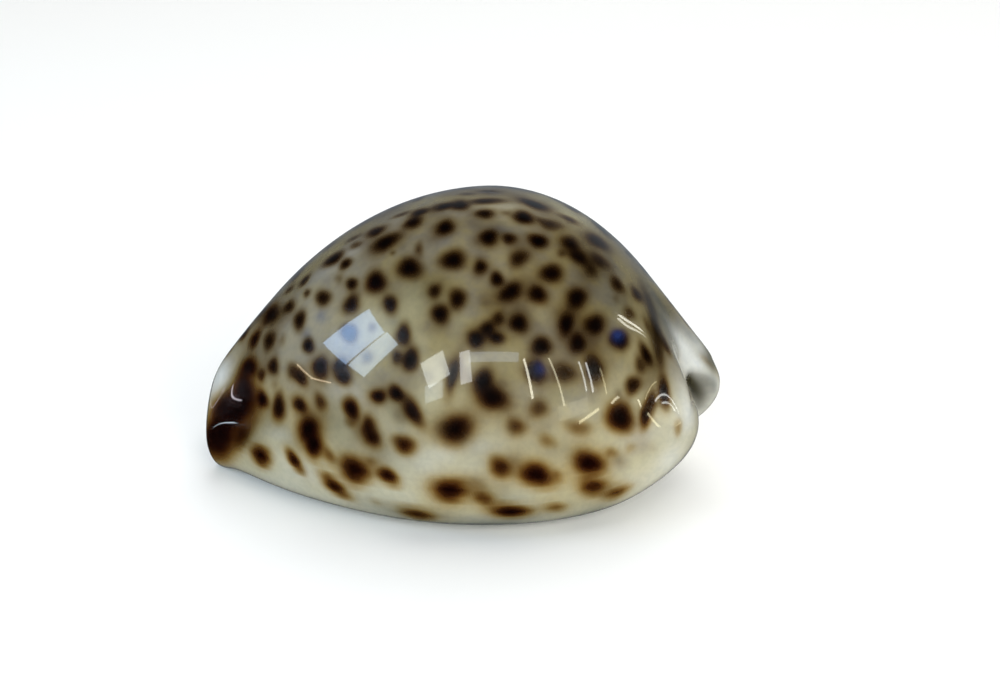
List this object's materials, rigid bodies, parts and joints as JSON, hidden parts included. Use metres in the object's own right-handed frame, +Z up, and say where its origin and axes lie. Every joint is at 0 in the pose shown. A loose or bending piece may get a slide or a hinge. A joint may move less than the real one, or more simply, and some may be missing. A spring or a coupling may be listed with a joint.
{
  "type": "tiger cowrie shell",
  "caption": "Hollow domed cowrie shell with a glossy spotted back, lying on its base with a toothed slit opening and a canal notch at each end.",
  "frame": {"origin": "on the resting plane, under the middle of the shell's length and width", "axes": "+X towards the spire end, +Y towards the outer lip, +Z up from the base to the top of the back"},
  "size_m": [0.0928, 0.0644, 0.0516],
  "materials": {
    "enamel": "polished natural enamel, cream to grey-olive with dark brown spots"
  },
  "bodies": {
    "root": {"shell": "enamel"}
  },
  "joints": []
}
